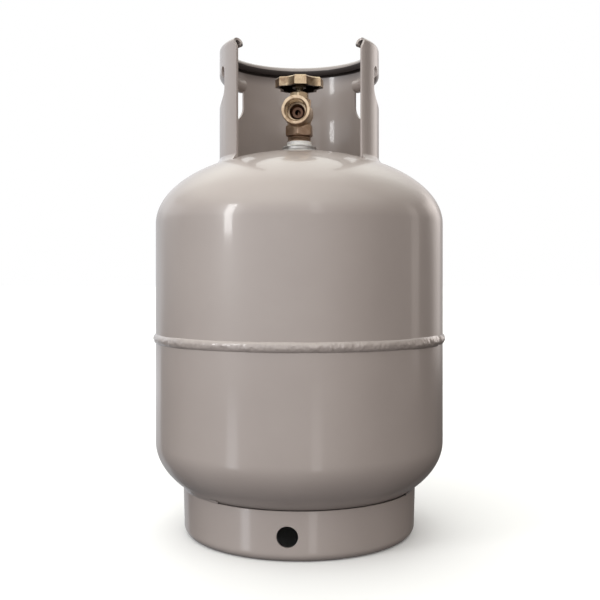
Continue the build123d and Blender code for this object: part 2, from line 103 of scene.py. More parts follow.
class Shader:
    """Small helper round one procedural material."""

    def __init__(self, name):
        self.material = bpy.data.materials.new(name)
        self.material.use_nodes = True
        self.tree = self.material.node_tree
        self.nodes = self.tree.nodes
        self.surface = self.nodes["Principled BSDF"]
        self.place = self.nodes.new("ShaderNodeTexCoord").outputs["Object"]

    def link(self, a, b):
        self.tree.links.new(a, b)

    def set(self, **values):
        for key, value in values.items():
            self.surface.inputs[key.replace("_", " ")].default_value = value

    def stretched(self, scale):
        """Object coordinates, scaled along each axis."""
        node = self.nodes.new("ShaderNodeMapping")
        node.inputs["Scale"].default_value = scale
        self.link(self.place, node.inputs["Vector"])
        return node.outputs["Vector"]

    def noise(self, scale, detail=3.0, rough=0.5, distort=0.0, where=None):
        node = self.nodes.new("ShaderNodeTexNoise")
        node.inputs["Scale"].default_value = scale
        node.inputs["Detail"].default_value = detail
        node.inputs["Roughness"].default_value = rough
        node.inputs["Distortion"].default_value = distort
        self.link(where or self.place, node.inputs["Vector"])
        return node.outputs["Fac"]

    def ramp(self, value, *stops):
        node = self.nodes.new("ShaderNodeValToRGB")
        node.color_ramp.interpolation = "EASE"
        while len(node.color_ramp.elements) < len(stops):
            node.color_ramp.elements.new(0.5)
        for element, (at, color) in zip(node.color_ramp.elements, stops):
            element.position = at
            if not hasattr(color, "__len__"):
                color = (color, color, color)
            element.color = (*color, 1)
        self.link(value, node.inputs["Fac"])
        return node.outputs["Color"]

    def range(self, value, start, end, low_value, high_value):
        node = self.nodes.new("ShaderNodeMapRange")
        node.interpolation_type = "SMOOTHSTEP"
        node.inputs["From Min"].default_value = start
        node.inputs["From Max"].default_value = end
        node.inputs["To Min"].default_value = low_value
        node.inputs["To Max"].default_value = high_value
        self.link(value, node.inputs["Value"])
        return node.outputs["Result"]

    def mix(self, factor, a, b, blend="MIX"):
        node = self.nodes.new("ShaderNodeMixRGB")
        node.blend_type = blend
        for key, value in (("Fac", factor), ("Color1", a), ("Color2", b)):
            if hasattr(value, "is_output"):
                self.link(value, node.inputs[key])
            elif key == "Fac":
                node.inputs[key].default_value = value
            else:
                node.inputs[key].default_value = (*value, 1)
        return node.outputs["Color"]

    def height(self):
        node = self.nodes.new("ShaderNodeSeparateXYZ")
        self.link(self.place, node.inputs["Vector"])
        return node.outputs["Z"]

    def axis(self, vector, way):
        """How far a vector goes one way."""
        node = self.nodes.new("ShaderNodeVectorMath")
        node.operation = "DOT_PRODUCT"
        self.link(vector, node.inputs[0])
        node.inputs[1].default_value = way
        return node.outputs["Value"]

    def inward(self):
        """1 where a face looks toward the axis, 0 elsewhere."""
        facing = self.nodes.new("ShaderNodeTexCoord").outputs["Normal"]
        node = self.nodes.new("ShaderNodeVectorMath")
        node.operation = "DOT_PRODUCT"
        self.link(facing, node.inputs[0])
        self.link(self.stretched((1, 1, 0)), node.inputs[1])
        return self.range(node.outputs["Value"], 0.0, -0.02, 0.0, 1.0)

    def within(self, r):
        """1 nearer to the axis than r, 0 elsewhere."""
        away = self.nodes.new("ShaderNodeVectorMath")
        away.operation = "LENGTH"
        self.link(self.stretched((1, 1, 0)), away.inputs[0])
        return self.range(away.outputs["Value"], r, r - 2 * MM, 0.0, 1.0)

    def thread(self, low_z, high_z, pitch):
        """Waves of a thread round the axis, between two heights."""
        soft_end = 0.2 * MM
        turns = self.axis(self.place, (0, 0, 2 * pi / pitch))
        wave = self.nodes.new("ShaderNodeMath")
        wave.operation = "SINE"
        self.link(turns, wave.inputs[0])
        cut = self.between(low_z, high_z, soft_end, soft_end)
        return self.combine("MULTIPLY", wave.outputs["Value"], cut)

    def between(self, low_z, high_z, low_soft, high_soft):
        """1 between two heights, fading out over a distance at each."""
        rise = self.range(self.height(), low_z - low_soft, low_z, 0.0, 1.0)
        fall = self.range(self.height(), high_z + high_soft, high_z, 0.0, 1.0)
        return self.combine("MULTIPLY", rise, fall)

    def combine(self, operation, a, b):
        node = self.nodes.new("ShaderNodeMath")
        node.operation = operation
        self.link(a, node.inputs[0])
        self.link(b, node.inputs[1])
        return node.outputs["Value"]

    def bumps(self, *layers):
        """Stacked bumps: (height, distance in metres, strength)."""
        before = None
        for value, distance, strength in layers:
            node = self.nodes.new("ShaderNodeBump")
            node.inputs["Distance"].default_value = distance
            node.inputs["Strength"].default_value = strength
            self.link(value, node.inputs["Height"])
            if before is not None:
                self.link(before, node.inputs["Normal"])
            before = node.outputs["Normal"]
        self.link(before, self.surface.inputs["Normal"])
        return before


def paint(name, weld=False):
    """Warm light-grey gloss enamel, sprayed over everything but the valve.

    Inside the foot ring and on the dome within it, it is painted near black as painted shade; under the
    shroud's rolled rim it is painted darker as painted shade.
    """
    enamel_dark, enamel_light, speck = (0.330, 0.283, 0.260), (0.362, 0.313, 0.288), (0.24, 0.20, 0.17)
    # Painted shade: the first tone darkens the inside of the foot ring, the other two darken the faces
    # under the shroud's rolled rim.
    ring_shade_tone, rim_shade_tone, rim_shadow_tone = (0.010, 0.009, 0.009), (0.10, 0.09, 0.09), (0.030, 0.025, 0.025)
    rim_low, rim_high = SHROUD_TOP - 11 * MM, SHROUD_TOP - 5.2 * MM
    dome_in_ring = 120.5 * MM
    coat = 1.0 if weld else 0.55
    s = Shader(name)
    tone = s.ramp(
        s.noise(7.0, 4.0, 0.6),
        (0.20, enamel_dark),
        (0.80, enamel_light),
    )
    tone = s.mix(s.range(s.noise(55.0, 4.0, 0.7), 0.62, 0.80, 0.0, 0.10), tone, speck)
    inward = s.inward()
    # Painted shade: the inward faces of the foot ring and the dome inside it are painted near black.
    ring_wall_shade = s.combine("MULTIPLY", inward, s.between(0.0, FOOT_TOP - 2 * MM, 1 * MM, 4 * MM))
    dome_shade_in_ring = s.combine("MULTIPLY", s.within(dome_in_ring), s.between(17 * MM, FOOT_TOP, 3 * MM, 4 * MM))
    inside = s.combine("MAXIMUM", ring_wall_shade, dome_shade_in_ring)
    tone = s.mix(inside, tone, ring_shade_tone)
    # Painted shade under the shroud's rolled rim: the inward faces below the rim are painted darker, and
    # darkest in the hollow of the curl.
    hidden = s.combine("MULTIPLY", inward, s.between(rim_low, rim_high, 1.5 * MM, 0.6 * MM))
    shaded = s.combine("MULTIPLY", inward, s.between(rim_low, SHROUD_TOP, 14 * MM, 1 * MM))
    tone = s.mix(s.range(shaded, 0.0, 1.0, 0.0, 0.35), tone, rim_shade_tone)
    tone = s.mix(s.range(hidden, 0.0, 1.0, 0.0, 0.90), tone, rim_shadow_tone)
    # Where shade is painted, inside the foot ring and under the rim, the shine and the coat are turned down
    # as well.
    dull = s.combine("MAXIMUM", inside, hidden)
    s.link(s.range(dull, 0.0, 1.0, 0.5, 0.1), s.surface.inputs["Specular IOR Level"])
    s.link(s.range(dull, 0.0, 1.0, coat, 0.02), s.surface.inputs["Coat Weight"])
    s.link(tone, s.surface.inputs["Base Color"])
    s.link(s.range(s.noise(9.0, 2.0), 0.2, 0.8, 0.29, 0.36), s.surface.inputs["Roughness"])
    s.set(IOR=1.5, Coat_Roughness=0.05 if weld else 0.075)
    layers = [
        (s.noise(16.0, 1.0, 0.5), 1.2 * MM, 0.14),
        (s.noise(110.0, 1.0, 0.5), 0.20 * MM, 0.06 if not weld else 0.10),
    ]
    if weld:
        layers.append((s.noise(230.0, 2.0, 0.6), 0.8 * MM, 0.50))
    normal = s.bumps(*layers)
    s.link(normal, s.surface.inputs["Coat Normal"])
    return s.material


def brass(name, light, dark, rough=(0.28, 0.42), cast=0.0, tones_and_shades=(), threads=None):
    """Brass or copper, tarnished in cloudy patches.

    tones_and_shades: functions that take the shader and give a mask and the colour it shows; they paint
    shade into the wheel's underside, the outlet bore and the spindle chamber, and give the valve body's
    lower end a darker tone that is partly painted shade.
    cast: strength of the rough casting skin.
    threads: lowest and highest point and pitch of a thread cut round the axis.
    """
    s = Shader(name)
    tarnish = s.noise(70.0, 5.0, 0.65, 0.6)
    pale = tuple(min(1, c * 1.08) for c in light)
    color = s.ramp(tarnish, (0.36, dark), (0.58, light), (0.78, pale))
    # Masks of painted shade, and one darker tone, laid over the brass.
    for tone_and_shade in tones_and_shades:
        mask, shade = tone_and_shade(s)
        color = s.mix(mask, color, shade)
    s.link(color, s.surface.inputs["Base Color"])
    s.set(Metallic=1.0)
    s.link(s.range(s.noise(160.0, 4.0), 0.2, 0.8, *rough), s.surface.inputs["Roughness"])
    layers = [(s.noise(900.0, 2.0), 0.06 * MM, 0.12), (s.noise(260.0, 4.0, 0.6), 0.25 * MM, cast)]
    if threads:
        layers.append((s.thread(*threads), 0.7 * MM, 1.0))
    s.bumps(*layers)
    return s.material


def wheel_underside_shade(s):
    """Underside and inner walls of the hand wheel, painted near black as painted shade."""
    facing = s.nodes.new("ShaderNodeTexCoord").outputs["Normal"]
    down = s.range(s.axis(facing, (0, 0, -1)), 0.2, 0.6, 0.0, 1.0)
    outward = s.nodes.new("ShaderNodeVectorMath")
    outward.operation = "DOT_PRODUCT"
    s.link(facing, outward.inputs[0])
    s.link(s.stretched((1, 1, 0)), outward.inputs[1])
    inner = s.range(outward.outputs["Value"], 0.0, -0.004, 0.0, 1.0)
    both = s.combine("MAXIMUM", down, inner)
    below = s.range(s.height(), WHEEL_TOP - 0.4 * MM, WHEEL_TOP - 1.5 * MM, 0.0, 1.0)
    return s.combine("MULTIPLY", both, below), (0.050, 0.032, 0.024)


def outlet_bore_shade(s):
    """Bore of the outlet, painted darker and browner the deeper it goes, as painted shade."""
    node = s.nodes.new("ShaderNodeMapping")
    node.inputs["Rotation"].default_value = (0, 0, atan2(-OUTLET_WAY.x, -OUTLET_WAY.y))
    node.inputs["Location"].default_value = (0, 0, -OUTLET.z)
    s.link(s.place, node.inputs["Vector"])
    away = s.nodes.new("ShaderNodeVectorMath")
    away.operation = "MULTIPLY"
    away.inputs[1].default_value = (1, 0, 1)
    s.link(node.outputs["Vector"], away.inputs[0])
    length = s.nodes.new("ShaderNodeVectorMath")
    length.operation = "LENGTH"
    s.link(away.outputs["Vector"], length.inputs[0])
    inside = s.range(length.outputs["Value"], 8.6 * MM, 7.9 * MM, 0.0, 1.0)
    depth = s.range(s.axis(node.outputs["Vector"], (0, -1, 0)), 19.0 * MM, 17.5 * MM, 0.0, 0.9)
    return s.combine("MULTIPLY", inside, depth), (0.10, 0.050, 0.035)


def lower_body(s):
    """Lower end of the valve body, a darker copper brown towards the bottom: partly the brass's own tone,
    partly painted shade.
    """
    return s.range(s.height(), 427 * MM, 413 * MM, 0.0, 0.8), (0.37, 0.25, 0.18)


def spindle_chamber_shade(s):
    """Spindle chamber, painted dark brown as painted shade deep inside the valve."""
    chamber = s.combine("MULTIPLY", s.within(9 * MM), s.between(425 * MM, 444 * MM, 1 * MM, 1 * MM))
    return s.range(chamber, 0.0, 1.0, 0.0, 0.92), (0.07, 0.035, 0.025)


def metal(name, light, dark, rough=(0.3, 0.5)):
    """Grey metal with faint lines from turning."""
    s = Shader(name)
    color = s.ramp(s.noise(90.0, 4.0, 0.6), (0.3, dark), (0.7, light))
    s.link(color, s.surface.inputs["Base Color"])
    s.set(Metallic=1.0)
    s.link(s.range(s.noise(200.0, 3.0), 0.3, 0.7, *rough), s.surface.inputs["Roughness"])
    s.bumps((s.noise(1.0, 2.0, where=s.stretched((60, 60, 2600))), 0.05 * MM, 0.1))
    return s.material


def soft(name, light, dark, rough):
    """Moulded plastic or rubber, finely mottled."""
    scale = 300.0
    s = Shader(name)
    color = s.ramp(s.noise(scale / 3, 4.0), (0.3, dark), (0.7, light))
    s.link(color, s.surface.inputs["Base Color"])
    s.link(s.range(s.noise(scale), 0.3, 0.7, rough - 0.08, rough + 0.08), s.surface.inputs["Roughness"])
    s.bumps((s.noise(scale, 3.0), 0.1 * MM, 0.2))
    return s.material


def tape_material():
    """White sealing tape: thin wraps with frayed, slightly glossy ridges."""
    s = Shader("ptfe_tape")
    wraps = s.noise(1.0, 3.0, 0.6, where=s.stretched((120, 120, 1500)))
    color = s.ramp(wraps, (0.2, (0.76, 0.71, 0.66)), (0.6, (0.93, 0.89, 0.845)))
    s.link(color, s.surface.inputs["Base Color"])
    s.link(s.range(wraps, 0.3, 0.7, 0.35, 0.55), s.surface.inputs["Roughness"])
    s.set(Subsurface_Weight=0.1)
    s.bumps((wraps, 0.5 * MM, 0.7), (s.noise(500.0, 3.0), 0.15 * MM, 0.4))
    return s.material


PAINT = paint("grey_enamel")
WELD_PAINT = paint("grey_enamel_on_weld", weld=True)
CAST_BRASS = brass("cast_brass", (0.53, 0.42, 0.28), (0.30, 0.20, 0.13), cast=0.45, tones_and_shades=(wheel_underside_shade,))
FORGED_BRASS = brass(
    "forged_brass", (0.64, 0.50, 0.35), (0.36, 0.25, 0.16),
    cast=0.25, tones_and_shades=(lower_body, outlet_bore_shade), threads=TAPE_THREAD,
)
TURNED_BRASS = brass(
    "turned_brass", (0.60, 0.47, 0.31), (0.42, 0.30, 0.18), rough=(0.18, 0.27), tones_and_shades=(spindle_chamber_shade,),
)
COPPER = brass("copper", (0.62, 0.33, 0.20), (0.42, 0.20, 0.12))
ZINC = metal("bare_steel", (0.60, 0.59, 0.575), (0.44, 0.43, 0.42), rough=(0.42, 0.58))
PLATED = metal("plated_steel", (0.66, 0.66, 0.67), (0.50, 0.50, 0.52), rough=(0.2, 0.35))
SPRING = metal("spring_steel", (0.45, 0.45, 0.46), (0.30, 0.30, 0.31))
NYLON = soft("nylon", (0.80, 0.78, 0.70), (0.72, 0.70, 0.62), 0.45)
RUBBER = soft("black_rubber", (0.035, 0.034, 0.033), (0.018, 0.018, 0.018), 0.6)
TAPE = tape_material()


# ---------------------------------------------------------------- mesh helpers

def piece(name, points, faces, material, body, nodes=(), sharp=32, bevel=0.0):
    mesh = bpy.data.meshes.new(name)
    mesh.from_pydata([tuple(p) for p in points], [], faces)
    mesh.validate()
    work = bmesh.new()
    work.from_mesh(mesh)
    bmesh.ops.remove_doubles(work, verts=work.verts, dist=1e-7)
    bmesh.ops.recalc_face_normals(work, faces=work.faces)
    work.to_mesh(mesh)
    work.free()
    mesh.materials.append(material)
    mesh.shade_smooth()
    mesh.set_sharp_from_angle(angle=radians(sharp))
    ob = bpy.data.objects.new(name, mesh)
    bpy.context.collection.objects.link(ob)
    if bevel:
        mod = ob.modifiers.new("edges", "BEVEL")
        mod.width = bevel
        mod.segments = 2
        mod.limit_method = "ANGLE"
        mod.angle_limit = radians(50)
        mod.harden_normals = True
    if nodes:
        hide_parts(*nodes)
    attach(ob, body)
    return ob


def lathe(profile, steps=192, closed=True):
    """Points and faces of a profile of (r, z) turned round the axis."""
    points, faces = [], []
    n = len(profile)
    for k in range(steps):
        for r, z in profile:
            points.append(spot(2 * pi * k / steps, r, z))
    for k in range(steps):
        a, b = k * n, ((k + 1) % steps) * n
        for i in range(n if closed else n - 1):
            j = (i + 1) % n
            faces.append((a + i, b + i, b + j, a + j))
    return points, faces


def thicken(middle, normals, faces, thickness):
    """Sheet of even thickness round a surface, with its open edges closed."""
    half = thickness / 2
    n = len(middle)
    points = [p + q * half for p, q in zip(middle, normals)]
    points += [p - q * half for p, q in zip(middle, normals)]
    count = {}
    for f in faces:
        for a, b in zip(f, f[1:] + f[:1]):
            count[frozenset((a, b))] = count.get(frozenset((a, b)), 0) + 1
    both = list(faces) + [tuple(i + n for i in reversed(f)) for f in faces]
    for f in faces:
        for a, b in zip(f, f[1:] + f[:1]):
            if count[frozenset((a, b))] == 1:
                both.append((b, a, a + n, b + n))
    return points, both


class Grid:
    """Surface made of strips whose matching corners are shared."""

    def __init__(self):
        self.middle, self.normals, self.faces, self.seen = [], [], [], {}

    def corner(self, p, q):
        key = tuple(round(c, 7) for c in p)
        if key not in self.seen:
            self.seen[key] = len(self.middle)
            self.middle.append(p)
            self.normals.append(q)
        return self.seen[key]

    def strip(self, columns):
        """columns: lists of (point, normal), all the same length; None ends a run."""
        rows = [[self.corner(*c) for c in column] for column in columns]
        for a, b in zip(rows, rows[1:]):
            for i in range(len(a) - 1):
                face = [a[i], b[i], b[i + 1], a[i + 1]]
                face = tuple(dict.fromkeys(face))
                if len(face) > 2:
                    self.faces.append(face)


def spread(a, b, n, ends=False):
    """n steps from a to b; closer together at both ends if asked."""
    if ends:
        return [a + (b - a) * (1 - cos(pi * i / n)) / 2 for i in range(n + 1)]
    return [a + (b - a) * i / n for i in range(n + 1)]


# ---------------------------------------------------------------- pressure vessel

def shells():
    arc = [radians(a) for a in spread(0, 90, 60)]
    seam = SEAM_Z + 2 * MM
    out = [(SHELL_R * cos(a), UPPER_TANGENT + DOME_H * sin(a)) for a in arc if SHELL_R * cos(a) > BOSS_R]
    out.append((BOSS_R, upper_dome(BOSS_R)))
    inner_r, inner_h = SHELL_R - WALL, DOME_H - WALL
    under = [(inner_r * cos(a), UPPER_TANGENT + inner_h * sin(a)) for a in arc if inner_r * cos(a) > BOSS_R]
    wall = [(SHELL_R, seam + (UPPER_TANGENT - seam) * t) for t in spread(0, 1, 12)][:-1]
    profile = wall + out + under[::-1] + [(inner_r, seam)]
    points, faces = lathe(profile, 256)
    piece("upper_shell_skin", points, faces, PAINT, "cylinder", ["upper_shell"])

    lip_r = inner_r - 0.1 * MM
    lip_top = high("lower_shell", 2)
    out = [(SHELL_R * cos(a), LOWER_TANGENT - DOME_H * sin(a)) for a in arc[::-1]]
    out[0] = (0.0, SHELL_BOTTOM)
    under = [(inner_r * cos(a), LOWER_TANGENT - inner_h * sin(a)) for a in arc]
    under[-1] = (0.0, SHELL_BOTTOM + WALL)
    wall = [(SHELL_R, LOWER_TANGENT + (SEAM_Z - 2 * MM - LOWER_TANGENT) * t) for t in spread(0, 1, 10)][1:]
    step = [
        (lip_r, SEAM_Z + 1 * MM),
        (lip_r, lip_top),
        (lip_r - WALL, lip_top),
        (lip_r - WALL, SEAM_Z),
        (inner_r, SEAM_Z - 3 * MM),
    ]
    points, faces = lathe(out + wall + step + under, 256, closed=False)
    piece("lower_shell_skin", points, faces, PAINT, "cylinder", ["lower_shell"])


# ---------------------------------------------------------------- weld beads

def ripple(s, u, seed):
    """Height of a machine-laid bead's soft ripples, under a thick coat of paint."""
    wander = noise.noise(Vector((s / (16 * MM), seed, 0.0)))
    waves = sin(2 * pi * (s / (5.2 * MM) + 0.35 * u * u + 1.3 * wander))
    strong = 0.5 + 0.5 * noise.noise(Vector((s / (30 * MM), seed + 6.0, 0.0)))
    lump = noise.noise(Vector((s / (9 * MM), u * 0.7, seed + 3.0)))
    fine = noise.noise(Vector((s / (3.0 * MM), u * 1.8, seed + 9.0)))
    return 0.05 * strong * waves + 0.20 * lump + 0.14 * fine


def bead(start, end, feet, out, bulge, seed, closed=False, step=0.7, thick=None, reach=0.0, sink=0.8 * MM):
    """Weld bead round the axis between two azimuths.

    feet(a) gives the bead's two edges as (r, z) at an azimuth, out is the way it bulges, and
    thick(a) scales it, for lumps. step is the distance between sections in millimetres, reach the
    length over which each end thins out, and sink how deep the hidden root goes.
    """
    across = 12
    points, faces = [], []
    r_mid = sum(f[0] for f in feet(start)) / 2
    length = (end - start) * r_mid
    n = max(8, int(length / (step * MM)))
    columns = n if closed else n + 1
    rows = across + 1
    for k in range(columns):
        t = k / n
        a = start + (end - start) * t
        s = length * t
        size = thick(a) if thick else 1.0
        if reach:
            edge = min(s, length - s)
            size *= sqrt(max(0.02, 1 - (1 - min(1.0, edge / reach)) ** 2))
        (r0, z0), (r1, z1) = feet(a)
        rc, zc = (r0 + r1) / 2, (z0 + z1) / 2
        sway = 0.35 * MM * noise.noise(Vector((s / (11 * MM), seed, 5.0)))
        for i in range(rows):
            u = -1 + 2 * i / across
            arch = (1 - u * u) ** 0.8
            h = bulge * size * arch * (0.86 + ripple(s, u, seed))
            h = min(h, bulge * arch) if bulge > 0 else max(h, 1.15 * bulge * arch)
            wide = u * (0.25 + 0.75 * min(1.0, size))
            r = rc + (r1 - r0) / 2 * wide + out[0] * h
            z = zc + (z1 - z0) / 2 * wide + out[1] * h + sway * (1 - abs(u)) * abs(out[0])
            points.append(spot(a, r, z))
        points.append(spot(a, rc - out[0] * sink, zc - out[1] * sink))
    rows += 1
    for k in range(columns if closed else columns - 1):
        p, q = k * rows, ((k + 1) % columns) * rows
        for i in range(rows):
            j = (i + 1) % rows
            faces.append((p + i, q + i, q + j, p + j))
    if not closed:
        faces.append(tuple(range(rows)))
        last = (columns - 1) * rows
        faces.append(tuple(last + i for i in reversed(range(rows))))
    return points, faces


def gather(runs):
    """One set of points and faces from several."""
    points, faces = [], []
    for run_points, run_faces in runs:
        base = len(points)
        points += run_points
        faces += [tuple(base + j for j in f) for f in run_faces]
    return points, faces


def girth_weld():
    half = (high("girth_weld", 2) - low("girth_weld", 2)) / 2 - 0.1 * MM
    proud = high("girth_weld", 0) - SHELL_R - SKIN
    lap_start, lap_end = radians(44), radians(66)

    def thick(a):
        """Overlap where the run was closed, ending in a small crater."""
        a = (a + pi) % (2 * pi) - pi
        wander = 0.86 + 0.07 * noise.noise(Vector((sin(a) * 4.1, cos(a) * 4.1, 1.0)))
        up = min(1.0, max(0.0, (a - lap_start) / 0.06))
        down = min(1.0, max(0.0, (lap_end - a) / 0.03))
        crater = max(0.0, 1 - abs(a - lap_end - 0.02) / 0.03)
        return wander + 0.22 * up * down - 0.45 * crater

    def feet(a):
        w = half * (0.95 + 0.04 * noise.noise(Vector((sin(a) * 9, cos(a) * 9, 4.0))))
        return (SHELL_R - SKIN, SEAM_Z - w), (SHELL_R - SKIN, SEAM_Z + w)

    points, faces = bead(0, 2 * pi, feet, (1, 0), proud, 1.0, closed=True, thick=thick)
    piece("girth_bead", points, faces, WELD_PAINT, "cylinder", ["girth_weld"], sharp=70)


def foot_ring_welds():
    """Small hollow fillets that run flush from the ring's edge into the dome."""
    r_top = high("foot_ring", 0)
    reach = 3.0 * MM

    def feet(a):
        far = r_top + reach - 0.1 * MM
        return (r_top - 0.1 * MM, FOOT_TOP - 0.4 * MM), (far, lower_dome(far) - SKIN)

    out = Vector((0.80, -0.60)).normalized()
    centres, half_span = (-61.5, 82.0, 189.0), 22.3
    runs = []
    for i, centre in enumerate(centres):
        first, last = radians(centre - half_span), radians(centre + half_span)
        runs.append(bead(first, last, feet, out, -0.35 * MM, 20.0 + i, reach=14 * MM, sink=1.2 * MM))
    points, faces = gather(runs)
    nodes = ["foot_ring_welds"]
    piece("foot_ring_beads", points, faces, WELD_PAINT, "cylinder", nodes, sharp=70)


def shroud_welds():
    """Hollow fillets between the foot of the shroud and the dome, two runs on each side."""
    leg = 4.6 * MM

    def feet(a):
        far = SHROUD_R + leg - 0.1 * MM
        return (SHROUD_R - SKIN, upper_dome(SHROUD_R) + leg), (far, upper_dome(far) - SKIN)

    out = Vector((0.81, 0.59)).normalized()
    spans = ((48.6, 101.8), (148.2, 165.8))
    runs = []
    for i, (start, end) in enumerate(spans):
        for side in (1, -1):
            a, b = sorted((side * radians(start), side * radians(end)))
            runs.append(bead(a, b, feet, out, -0.55 * MM, 40.0 + i + 10 * side, sink=2.7 * MM))
    points, faces = gather(runs)
    nodes = ["shroud_welds"]
    piece("shroud_beads", points, faces, WELD_PAINT, "cylinder", nodes, sharp=70)


def boss_weld():
    """Fillet all round the boss."""
    leg = 2.7 * MM

    def feet(a):
        far = BOSS_R + leg
        return (BOSS_R - SKIN, upper_dome(BOSS_R) + leg), (far, upper_dome(far) - SKIN)

    out = Vector((0.7, 0.71)).normalized()
    points, faces = bead(0, 2 * pi, feet, out, 0.5 * MM, 70.0, closed=True, step=0.5)
    piece("boss_bead", points, faces, ZINC, "cylinder", ["boss_weld"], sharp=70)


# ---------------------------------------------------------------- foot ring

def foot_ring():
    """Slightly tapered ring with a curled lower edge, an inward flange and three drain holes."""
    sheet = RING_SHEET
    r_top = high("foot_ring", 0)
    lean = 1.0 * MM
    curl = 8.0 * MM
    straight = FOOT_TOP - curl
    hole_r = 10.0 * MM
    hole_z = 24.0 * MM
    mid_curl = curl - sheet / 2
    flange = 107.0 * MM

    def at(a, z):
        r = r_top - lean * (FOOT_TOP - z) / straight - sheet / 2
        return spot(a, r, z), Vector((sin(a), -cos(a), 0))

    def bent(a, t):
        r = r_top - lean - curl + mid_curl * cos(t)
        z = curl - mid_curl * sin(t)
        n = Vector((sin(a) * cos(t), -cos(a) * cos(t), -sin(t)))
        return spot(a, r, z), n

    def flat(a, r):
        return spot(a, r, sheet / 2), Vector((0, 0, -1))

    grid = Grid()
    half = hole_r / (r_top - sheet)
    azimuths = []
    for i, c in enumerate(DRAIN_HOLES):
        azimuths += [(a, c) for a in spread(c - half, c + half, 24, ends=True)][:-1]
        following = DRAIN_HOLES[(i + 1) % 3] + (2 * pi if i == 2 else 0)
        azimuths += [(a, None) for a in spread(c + half, following - half, 56)][:-1]
    azimuths.append((azimuths[0][0] + 2 * pi, None))
    above, below, under = [], [], []
    for a, c in azimuths:
        gap = 0.0
        if c is not None:
            gap = sqrt(max(0.0, hole_r ** 2 - ((a - c) * (r_top - sheet)) ** 2))
        top = [at(a, z) for z in spread(FOOT_TOP, hole_z + gap, 8)]
        low_part = [at(a, z) for z in spread(hole_z - gap, curl, 6)]
        above.append(top)
        below.append(low_part)
        bend = [bent(a, t) for t in spread(0, pi / 2, 8)]
        ring = [flat(a, r) for r in spread(r_top - lean - curl, flange, 2)]
        under.append(bend + ring[1:])
    grid.strip(above)
    grid.strip(below)
    grid.strip(under)
    points, faces = thicken(grid.middle, grid.normals, grid.faces, sheet)
    piece("foot_ring_skin", points, faces, PAINT, "cylinder", ["foot_ring"], bevel=0.35 * MM)


# ---------------------------------------------------------------- valve shroud

def shroud():
    """C-shaped collar with a rolled rim, and a hand-hold with a rolled lip on each side."""
    sheet = SHROUD_SHEET
    mid_r = SHROUD_R - sheet / 2
    curl = 5.25 * MM
    curl_z = SHROUD_TOP - curl
    lip = 7.6 * MM
    lip_z = SHROUD_TOP - 29 * MM
    side_z = SHROUD_TOP - 48 * MM
    depth = 19 * MM
    corner = 17 * MM
    notch_r = 5.5 * MM
    notch_z = SHROUD_TOP - 30 * MM
    open_half = radians(48.2)
    centre = radians(98.0)
    half = radians(32.5)
    notch = half - notch_r / SHROUD_R
    lip_half = radians(25.2)
    base = upper_dome(SHROUD_R) + 0.15 * MM
    blend_to = radians(62.0)

    def end_at(z):
        """Azimuth of the collar's end, which is set back toward the rim."""
        return open_half + 7.0 * MM / SHROUD_R * min(1.0, max(0.0, (z - curl_z + 5.75 * MM) / (11 * MM)))

    def turn(a, z):
        """Azimuth a, moved so that the collar starts at its end for that height."""
        if a >= blend_to:
            return a
        first = end_at(z)
        return first + (a - open_half) / (blend_to - open_half) * (blend_to - first)

    def wall(a, z, side):
        b = side * turn(a, z)
        return spot(b, mid_r, z), Vector((sin(b), -cos(b), 0))

    def rolled(a, t, side, r_out, cz, up):
        r_mid = r_out - sheet / 2
        z = cz + up * r_mid * sin(t)
        b = side * turn(a, z)
        r = SHROUD_R - r_out + r_mid * cos(t)
        n = Vector((sin(b) * cos(t), -cos(b) * cos(t), up * sin(t)))
        return spot(b, r, z), n

    def window(a):
        """Heights of the lower and upper edge of the opening at an azimuth, or None."""
        off = abs(a - centre)
        if off > half + 1e-9:
            return None
        x = min(1.0, sin(off) / sin(half))
        drop = depth * sqrt(max(0.0, 1 - x * x))
        if a > centre:
            past = max(0.0, SHROUD_R * (sin(off) - sin(half)) + corner)
            drop = depth - corner + sqrt(max(0.0, corner ** 2 - past ** 2))
        lower = side_z - drop
        if off <= lip_half + 1e-9:
            return lower, lip_z
        d = (off - notch) * SHROUD_R
        return lower, notch_z + sqrt(max(0.0, notch_r ** 2 - d * d))

    marks = [
        (spread(open_half, blend_to, 16), False),
        (spread(blend_to, centre - half, 4), False),
        (spread(centre - half, centre - lip_half, 18, ends=True), True),
        (spread(centre - lip_half, centre + lip_half, 44), True),
        (spread(centre + lip_half, centre + half, 18, ends=True), True),
        (spread(centre + half, pi, 44), False),
    ]
    grid = Grid()
    for side in (1, -1):
        for azimuths, opened in marks:
            lower, middle, upper = [], [], []
            for a in azimuths:
                gap = window(a) if opened else None
                z_low, z_high = gap or (side_z, notch_z)
                lower.append([wall(a, z, side) for z in spread(base, z_low, 14)])
                middle.append([wall(a, z, side) for z in spread(side_z, notch_z, 6)])
                column = [wall(a, z, side) for z in spread(z_high, curl_z, 10)]
                column += [rolled(a, t, side, curl, curl_z, 1) for t in spread(0, RIM_CURL_TURN, 22)][1:]
                upper.append(column)
            grid.strip(lower)
            if not opened:
                grid.strip(middle)
            grid.strip(upper)
        lips = []
        for a in marks[3][0]:
            lips.append([rolled(a, t, side, lip, lip_z, -1) for t in spread(0, LIP_CURL_TURN, 22)])
        grid.strip(lips)
    points, faces = thicken(grid.middle, grid.normals, grid.faces, sheet)
    piece("shroud_skin", points, faces, PAINT, "cylinder", ["shroud"], bevel=0.35 * MM)


# ---------------------------------------------------------------- valve

